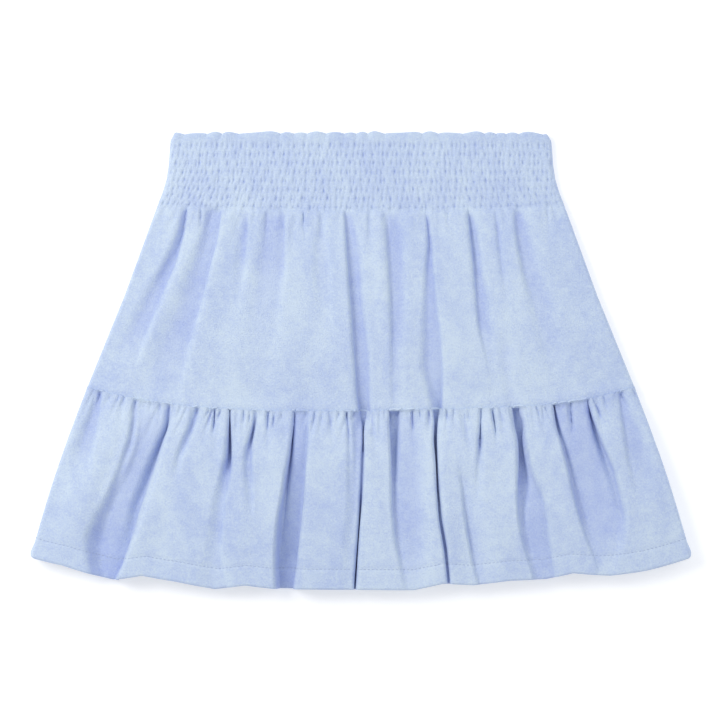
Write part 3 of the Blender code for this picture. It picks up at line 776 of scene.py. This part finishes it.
def closedCloth(name, points, thickness, hemRows=0):
    # A grid is bent round into a tube, sewn shut at one side and given its thickness. The
    # fourth value of each point is the painted shade it gets, deep in a trough, dimple or pucker.
    deselect()
    rows, columns = points.shape[:2]
    bpy.ops.mesh.primitive_grid_add(x_subdivisions=columns, y_subdivisions=rows - 1, size=2)
    cloth = bpy.context.object
    cloth.name = name
    cloth.data.name = name
    flat = np.empty(len(cloth.data.vertices) * 3)
    cloth.data.vertices.foreach_get("co", flat)
    flat = flat.reshape(-1, 3)
    column = np.rint((flat[:, 0] + 1) / 2 * columns).astype(int) % columns
    row = rows - 1 - np.rint((flat[:, 1] + 1) / 2 * (rows - 1)).astype(int)
    cloth.data.vertices.foreach_set("co", (points[row, column, :3] * mm).ravel())
    # an attribute carries the painted shade to the material
    troughShade = cloth.data.attributes.new("troughShade", "FLOAT", "POINT")
    troughShade.data.foreach_set("value", points[row, column, 3])
    group = cloth.vertex_groups.new(name="hem")
    inHem = row >= rows - hemRows
    for chosen, share in ((inHem, 1.0), (~inHem, outline["clothThick"] / thickness)):
        group.add([int(i) for i in np.nonzero(chosen)[0]], share, "REPLACE")
    bpy.ops.object.mode_set(mode="EDIT")
    bpy.ops.mesh.select_all(action="SELECT")
    bpy.ops.mesh.remove_doubles(threshold=0.01 * mm)
    bpy.ops.mesh.select_all(action="DESELECT")
    bpy.ops.object.mode_set(mode="OBJECT")
    wall = cloth.modifiers.new("wall", "SOLIDIFY")
    wall.thickness = thickness * mm
    wall.offset = -1
    wall.vertex_group = "hem"
    wall.use_quality_normals = True
    bpy.ops.object.modifier_apply(modifier=wall.name)
    bpy.ops.object.shade_smooth_by_angle(angle=math.radians(70))
    return cloth


def hemStitches(points, row):
    # a thread in short stitches round the hem, each lying in the groove
    settings = stitching
    line = np.vstack((points[row], points[row, :1]))[:, :3]
    steps = np.linalg.norm(np.diff(line, axis=0), axis=1)
    walked = np.concatenate(([0], np.cumsum(steps)))
    pitch = settings["length"] + settings["space"]
    deselect()
    bpy.ops.mesh.primitive_uv_sphere_add(segments=8, ring_count=5, radius=0.5)
    first = bpy.context.object
    first.name = "hemStitches"
    stitches = []
    for k in range(int(walked[-1] / pitch)):
        ends = []
        for place in (k * pitch, k * pitch + settings["length"]):
            ends.append(Vector([float(np.interp(place, walked, line[:, n])) for n in range(3)]))
        run = ends[1] - ends[0]
        if run.length < 0.5 * settings["length"]:
            continue
        item = first.copy()
        item.data = first.data.copy()
        item.location = (ends[0] + ends[1]) / 2 * mm
        item.rotation_euler = run.to_track_quat("X", "Z").to_euler()
        item.scale = Vector((run.length, settings["width"], settings["thick"])) * mm
        bpy.context.scene.collection.objects.link(item)
        stitches.append(item)
    bpy.data.objects.remove(first)
    deselect()
    for item in stitches:
        item.select_set(True)
    bpy.context.view_layer.objects.active = stitches[0]
    bpy.ops.object.join()
    thread = bpy.context.object
    thread.name = "hemStitches"
    bpy.ops.object.transform_apply(location=True, rotation=True, scale=True)
    bpy.ops.object.shade_smooth()
    return thread


class Value:
    # a number in a shader; +, - and * on it add Math nodes
    def __init__(self, tree, socket):
        self.tree = tree
        self.socket = socket

    def math(self, operation, other):
        node = self.tree.nodes.new("ShaderNodeMath")
        node.operation = operation
        for place, item in enumerate((self, other)):
            if isinstance(item, Value):
                self.tree.links.new(item.socket, node.inputs[place])
            else:
                node.inputs[place].default_value = item
        return Value(self.tree, node.outputs[0])

    def __add__(self, other):
        return self.math("ADD", other)

    def __sub__(self, other):
        return self.math("SUBTRACT", other)

    def __mul__(self, other):
        return self.math("MULTIPLY", other)


class Shader:
    # a material under construction
    def __init__(self, name):
        self.material = bpy.data.materials.new(name)
        self.material.use_nodes = True
        self.tree = self.material.node_tree
        self.cloth = self.tree.nodes["Principled BSDF"]

    def node(self, kind, settings, inputs, output=0):
        made = self.tree.nodes.new("ShaderNode" + kind)
        for key, value in settings.items():
            setattr(made, key, value)
        for key, value in inputs.items():
            self.feed(made.inputs[key], value)
        return Value(self.tree, made.outputs[output])

    def feed(self, socket, value):
        if isinstance(value, Value):
            self.tree.links.new(value.socket, socket)
        else:
            socket.default_value = value


terryLook = {
    "light": (0.638, 0.738, 0.855, 1),
    "dark": (0.468, 0.560, 0.800, 1),
    # painted shade, multiplied into the cloth's colour deep in the troughs, dimples and puckers
    "shade": (0.85, 0.855, 0.975, 1),
    # how fine the brushed areas, the patches, the grain, the flecks and the loops are
    "napSize": 24,
    "napStretch": (1.0, 0.55, 1.0),
    "patchSize": 108,
    "grainSize": 260,
    "fleckSize": 700,
    "loopSize": 1100,
    # how much each of them turns the tone between dark and light, around the middle one
    "napTurn": 1.9,
    "patchTurn": 1.0,
    "grainTurn": 0.5,
    "fleckTurn": 1.9,
    "middleTone": 0.58,
    # how deep in a trough the painted shade starts, and where it is darkest
    "darkFrom": 0.03,
    "darkest": 0.4,
    "fleckHeight": 0.8,
    "loopHeight": 0.5,
    "bumpStrength": 0.7,
    "bumpHeight": 0.0010,
    "roughness": 0.95,
    "shine": 0.15,
    "sheen": 0.09,
    "sheenRoughness": 0.5,
    "sheenTint": (0.7, 0.8, 1.0, 1),
}


def terryMaterial(name, napAmount=1.0):
    look = terryLook
    shader = Shader(name)
    place = shader.node("TexCoord", {}, {}, "Object")
    along = shader.node("Mapping", {}, {"Vector": place, "Scale": look["napStretch"]})
    nap = shader.node("TexNoise", {}, {
        "Vector": along, "Scale": look["napSize"], "Detail": 4.0, "Roughness": 0.6,
        "Distortion": 0.6})
    patch = shader.node("TexNoise", {}, {
        "Vector": place, "Scale": look["patchSize"], "Detail": 3.0, "Roughness": 0.65})
    fleck = shader.node("TexNoise", {}, {
        "Vector": place, "Scale": look["fleckSize"], "Detail": 3.0, "Roughness": 0.7})
    loops = shader.node("TexVoronoi", {"feature": "SMOOTH_F1"}, {
        "Vector": place, "Scale": look["loopSize"], "Smoothness": 0.6}, "Distance")
    grain = shader.node("TexNoise", {}, {
        "Vector": place, "Scale": look["grainSize"], "Detail": 2.0, "Roughness": 0.6})
    tone = (nap - 0.5) * (look["napTurn"] * napAmount) + (patch - 0.5) * look["patchTurn"]
    tone = tone + (grain - 0.5) * look["grainTurn"]
    tone = tone + (fleck - 0.5) * look["fleckTurn"] + look["middleTone"]
    colour = shader.node("Mix", {"data_type": "RGBA", "clamp_factor": True}, {
        "Factor": tone, 6: look["dark"], 7: look["light"]}, 2)
    # painted shade: the colour is darkened and blued by the shade tone where the cloth lies deep
    # in a trough, dimple or pucker
    troughShade = shader.node("Attribute", {"attribute_name": "troughShade"}, {}, "Fac")
    paintedShadeShare = shader.node("MapRange", {"interpolation_type": "SMOOTHSTEP"}, {
        "Value": troughShade, "From Min": look["darkFrom"], "From Max": look["darkest"]})
    colour = shader.node("Mix", {"data_type": "RGBA", "blend_type": "MULTIPLY"}, {
        "Factor": paintedShadeShare, 6: colour, 7: look["shade"]}, 2)
    height = fleck * look["fleckHeight"] + loops * look["loopHeight"]
    bump = shader.node("Bump", {}, {
        "Strength": look["bumpStrength"], "Distance": look["bumpHeight"], "Height": height})
    shader.feed(shader.cloth.inputs["Base Color"], colour)
    shader.feed(shader.cloth.inputs["Normal"], bump)
    shader.feed(shader.cloth.inputs["Roughness"], look["roughness"])
    shader.feed(shader.cloth.inputs["Specular IOR Level"], look["shine"])
    shader.feed(shader.cloth.inputs["Sheen Weight"], look["sheen"])
    shader.feed(shader.cloth.inputs["Sheen Roughness"], look["sheenRoughness"])
    shader.feed(shader.cloth.inputs["Sheen Tint"], look["sheenTint"])
    return shader.material


def threadMaterial(name):
    shader = Shader(name)
    place = shader.node("TexCoord", {}, {}, "Object")
    twist = shader.node("TexWave", {"bands_direction": "DIAGONAL"}, {
        "Vector": place, "Scale": stitching["twist"],
        "Distortion": stitching["twistUneven"]}, "Fac")
    colour = shader.node("Mix", {"data_type": "RGBA"}, {
        "Factor": twist, 6: stitching["dark"], 7: stitching["light"]}, 2)
    bump = shader.node("Bump", {}, {
        "Strength": stitching["bumpStrength"], "Distance": stitching["bumpHeight"],
        "Height": twist})
    shader.feed(shader.cloth.inputs["Base Color"], colour)
    shader.feed(shader.cloth.inputs["Normal"], bump)
    shader.feed(shader.cloth.inputs["Roughness"], stitching["roughness"])
    return shader.material


gaps = elasticGaps()

waist = closedCloth("shirredWaist", waistPoints(gaps), outline["clothThick"])
waist.data.materials.clear()
waist.data.materials.append(terryMaterial("terryShirred", 0.7))
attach(waist, "root")
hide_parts("front_waist", "back_waist")
print("waist shirred")

tier = closedCloth("upperTier", tierPoints(gaps), outline["clothThick"])
tier.data.materials.clear()
tier.data.materials.append(terryMaterial("terryTier"))
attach(tier, "root")
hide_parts("front_tier", "back_tier")
print("tier draped")

ruffleRows = rowPlaces(ruffleCloth["rows"], ruffleCloth["hemFrom"])
hemRows = int(np.sum(ruffleRows > ruffleCloth["hemFrom"]))
ruffleShape = rufflePoints()
ruffle = closedCloth("hemRuffle", ruffleShape, outline["hemThick"], hemRows)
ruffle.data.materials.clear()
ruffle.data.materials.append(terryMaterial("terryRuffle"))
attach(ruffle, "root")
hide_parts("front_ruffle", "back_ruffle")
print("ruffle gathered")

stitches = hemStitches(ruffleShape, ruffleShape.shape[0] - 1 - hemRows)
stitches.data.materials.clear()
stitches.data.materials.append(threadMaterial("sewingThread"))
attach(stitches, "root")
print("hem stitched")

studio = {
    "cameraHeight": 3.0,
    "sensorWidth": 36,
    # mm of floor across the picture, and the middle of it
    "pictureWidth": 612.0,
    "middle": (-0.85, 0.0),
    "floorTone": (0.70, 0.70, 0.705, 1),
    "floorRoughness": 0.9,
    "floorGlow": 0.6,
    "skyTone": (0.86, 0.91, 1.0, 1),
    "skyStrength": 0.66,
    # name, tone, power, size and place of each soft light
    "lights": [
        ("windowLight", (1.0, 0.98, 0.93), 22.0, 0.9, (-1.4, 0.7, 1.45)),
        ("sideLight", (1.0, 0.985, 0.95), 8.0, 1.3, (1.4, 0.5, 1.5)),
    ],
}


def makeStudio():
    deselect()
    bpy.ops.mesh.primitive_plane_add(size=8, location=(0, 0, 0))
    floor = bpy.context.object
    floor.name = "studioFloor"
    shader = Shader("paleFloor")
    shader.feed(shader.cloth.inputs["Base Color"], studio["floorTone"])
    shader.feed(shader.cloth.inputs["Roughness"], studio["floorRoughness"])
    shader.feed(shader.cloth.inputs["Emission Color"], studio["floorTone"])
    shader.feed(shader.cloth.inputs["Emission Strength"], studio["floorGlow"])
    floor.data.materials.append(shader.material)
    world = bpy.data.worlds.new("studioSky")
    world.use_nodes = True
    sky = world.node_tree.nodes["Background"]
    sky.inputs["Color"].default_value = studio["skyTone"]
    sky.inputs["Strength"].default_value = studio["skyStrength"]
    bpy.context.scene.world = world
    for name, tone, power, size, place in studio["lights"]:
        data = bpy.data.lights.new(name, "AREA")
        data.size = size
        data.energy = power
        data.color = tone
        lamp = bpy.data.objects.new(name, data)
        lamp.location = place
        lamp.rotation_euler = (-Vector(place)).to_track_quat("-Z", "Y").to_euler()
        bpy.context.scene.collection.objects.link(lamp)
    lens = bpy.data.cameras.new("topCamera")
    lens.sensor_width = studio["sensorWidth"]
    lens.lens = studio["sensorWidth"] * studio["cameraHeight"] / (studio["pictureWidth"] * mm)
    lens.clip_end = 20
    camera = bpy.data.objects.new("topCamera", lens)
    middleX, middleY = studio["middle"]
    camera.location = (middleX * mm, middleY * mm, studio["cameraHeight"])
    bpy.context.scene.collection.objects.link(camera)
    bpy.context.scene.camera = camera
    bpy.context.scene.view_settings.view_transform = "Standard"


makeStudio()
print("studio lit")
